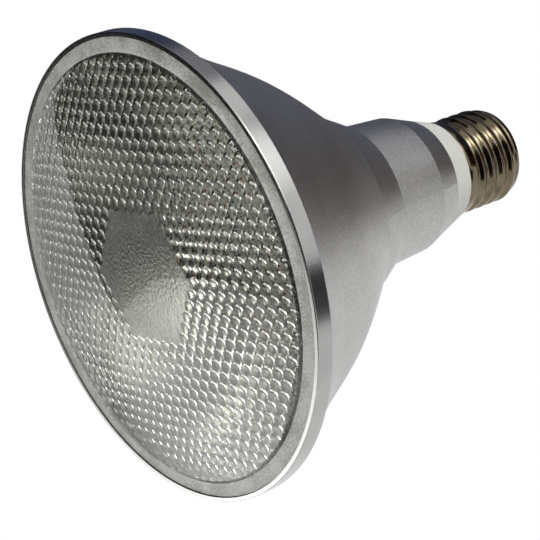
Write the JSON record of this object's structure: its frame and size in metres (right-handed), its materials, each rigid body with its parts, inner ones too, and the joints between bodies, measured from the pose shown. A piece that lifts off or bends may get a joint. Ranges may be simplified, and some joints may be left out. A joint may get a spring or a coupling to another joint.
{
  "type": "led grow light bulb",
  "caption": "Reflector lamp for growing plants: a flared aluminium housing with a lenslet glass front, red and blue emitters inside, and an Edison screw cap.",
  "frame": {"origin": "crown of the lens, on the lamp's axis, which is the lowest point of the lamp", "axes": "+Z along the lamp's axis from the lens to the screw cap, X and Y across the lamp"},
  "size_m": [0.1206, 0.1206, 0.1267],
  "materials": {
    "lens_glass": "pressed clear glass with lenslets inside, faintly green",
    "cast_aluminium": "bead-blasted bare casting, satin rim",
    "reflector_metal": "bright spun aluminium",
    "spreader_metal": "turned aluminium",
    "silicone": "soft black silicone",
    "thermal_silicone": "soft grey silicone sheet",
    "board_mask": "white solder mask on aluminium",
    "red_emitter": "clear dome over a red emitter",
    "blue_emitter": "clear dome over a blue emitter",
    "zinc_steel": "zinc-plated steel",
    "white_pbt": "moulded white PBT",
    "circuit_laminate": "green laminate",
    "ferrite": "sintered ferrite",
    "winding_tape": "yellow tape over enamelled wire",
    "capacitor_film": "shrunk black film",
    "epoxy_red": "dipped red epoxy",
    "epoxy_black": "moulded black epoxy",
    "epoxy_blue": "dipped blue epoxy",
    "resistor_coat": "painted ceramic body with tinned leads",
    "wire_insulation": "white silicone insulation",
    "nickel_plate": "drawn sheet, bright nickel plate",
    "black_insulator": "black moulded insulator"
  },
  "bodies": {
    "root": {"housing": "cast_aluminium", "front_lens": "lens_glass", "lens_gasket": "silicone", "reflector": "reflector_metal", "heat_spreader": "spreader_metal", "thermal_pad": "thermal_silicone", "led_board": "board_mask", "red_leds": "red_emitter", "blue_leds": "blue_emitter", "board_screws": "zinc_steel", "sleeve_screws": "zinc_steel", "driver_sleeve": "white_pbt", "driver_board": "circuit_laminate", "transformer_core": "ferrite", "transformer_winding": "winding_tape", "input_capacitor": "capacitor_film", "output_capacitor": "capacitor_film", "filter_choke": "ferrite", "film_capacitor": "epoxy_red", "bridge_rectifier": "epoxy_black", "driver_chip": "epoxy_black", "varistor": "epoxy_blue", "fuse_resistor": "resistor_coat", "neutral_wire": "wire_insulation", "output_wires": "wire_insulation", "screw_shell": "nickel_plate", "cap_insulator": "black_insulator", "centre_contact": "nickel_plate"}
  },
  "joints": []
}
